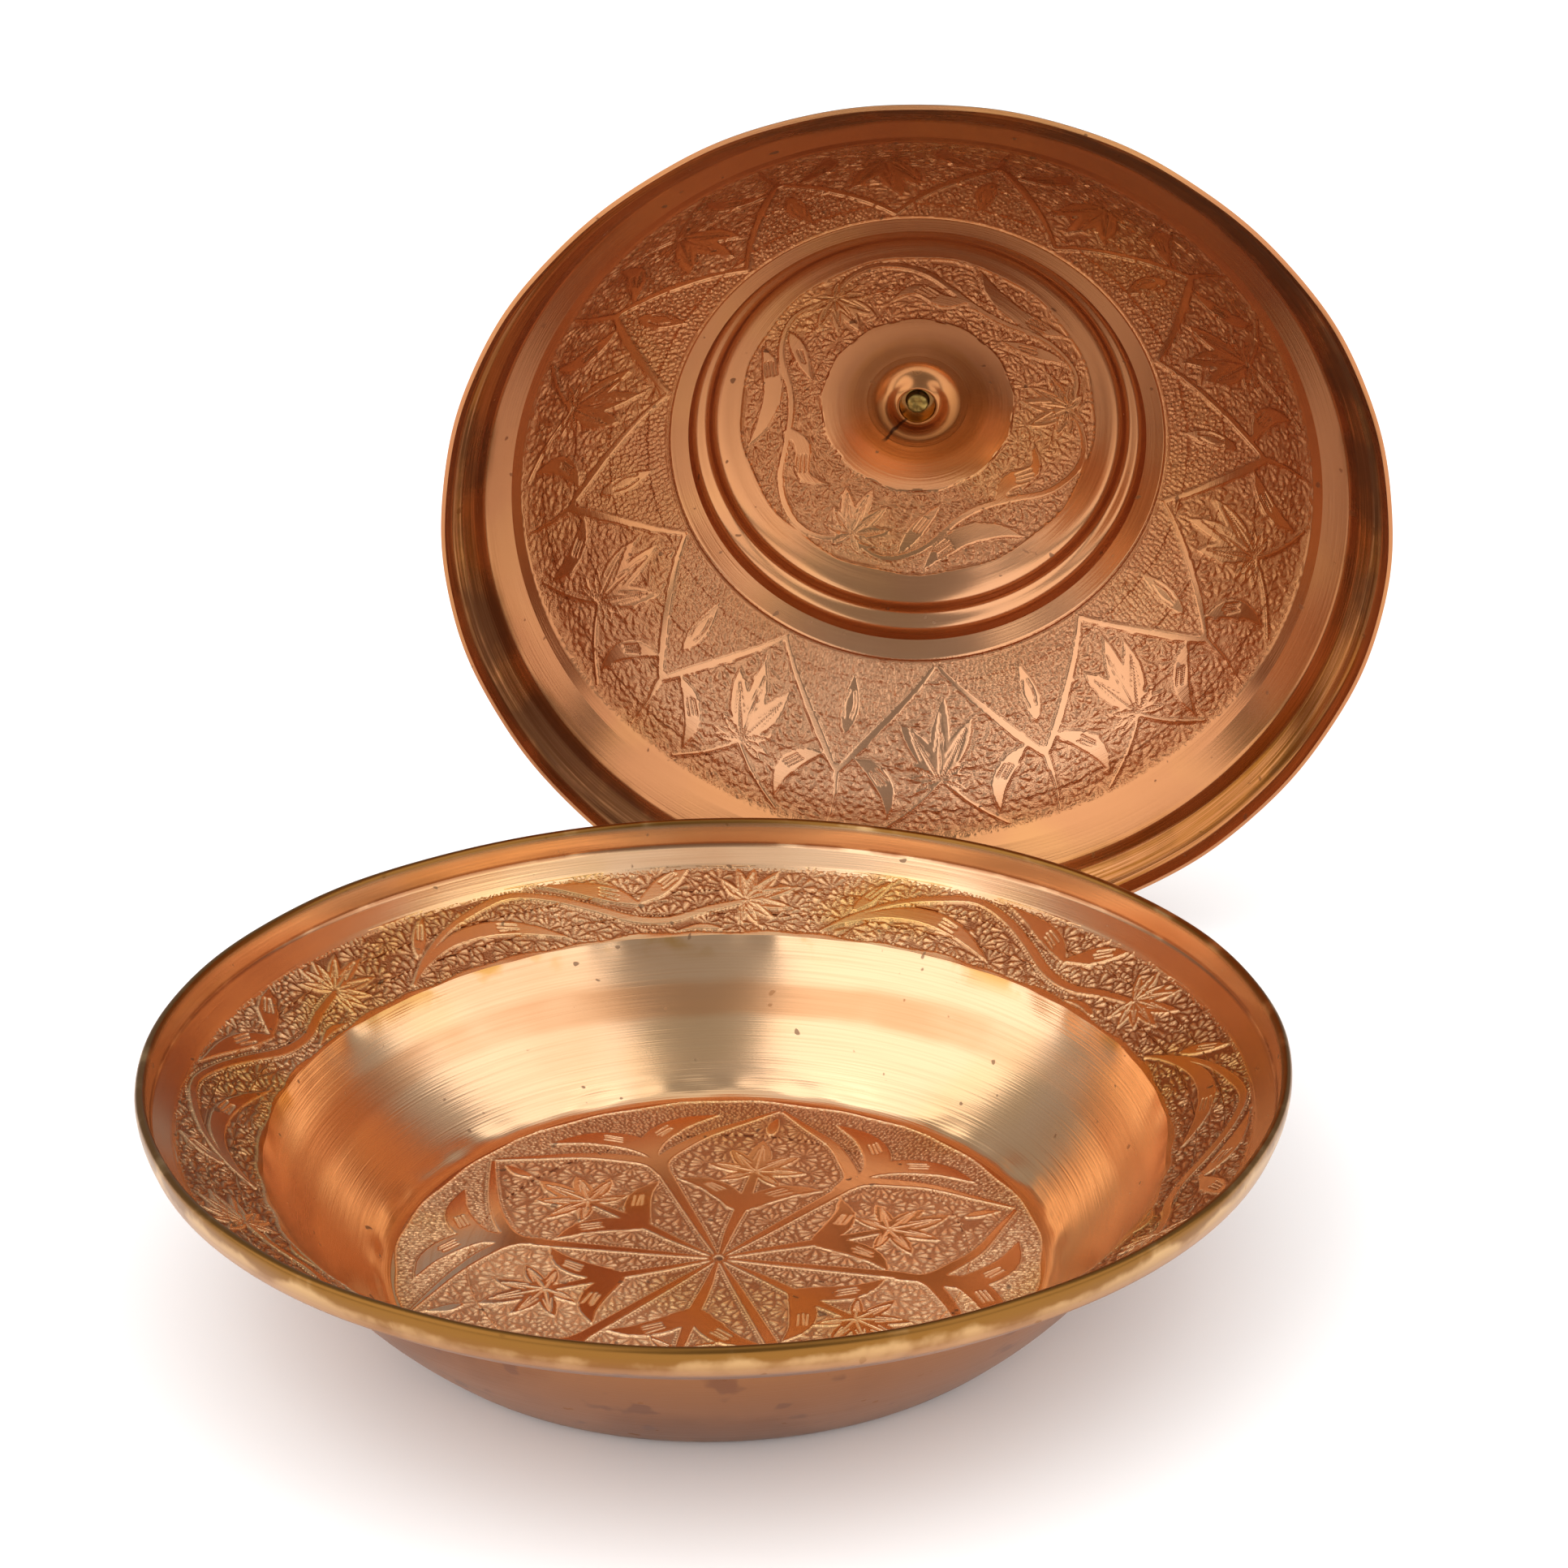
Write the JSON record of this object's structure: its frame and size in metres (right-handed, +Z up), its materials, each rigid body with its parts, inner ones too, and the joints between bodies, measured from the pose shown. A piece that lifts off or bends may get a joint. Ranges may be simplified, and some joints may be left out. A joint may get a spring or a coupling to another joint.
{
  "type": "lidded serving dish",
  "caption": "Round copper serving dish with a wide flange and an upright lip, and its stepped domed lid with a brass knob, standing on its rim behind the dish.",
  "frame": {"origin": "centre of the dish's flat base, on the surface it stands on", "axes": "+Z up along the dish's axis; the lid stands on its rim on the +Y side and its hollow faces -Y"},
  "size_m": [0.2802, 0.3702, 0.2237],
  "materials": {
    "dish_copper": "hand-raised sheet copper, brushed bright inside, chased all over the floor and flange, with worn golden patina on the lip",
    "lid_copper": "hand-raised sheet copper, duller and browner than the dish, chased in two bands, with dark patina near the rim",
    "knob_brass": "turned cast brass, hand polished",
    "tang_brass": "rough filed brass rod end"
  },
  "bodies": {
    "dish": {"dish_shell": "dish_copper"},
    "lid": {"lid_shell": "lid_copper", "knob_collar": "knob_brass", "lid_knob": "knob_brass", "knob_tang": "tang_brass"}
  },
  "joints": [
    {"name": "lid_lift", "type": "slide", "parent": "dish", "child": "lid", "axis": [0, 0, 1], "range_m": [0, 0.3]}
  ]
}
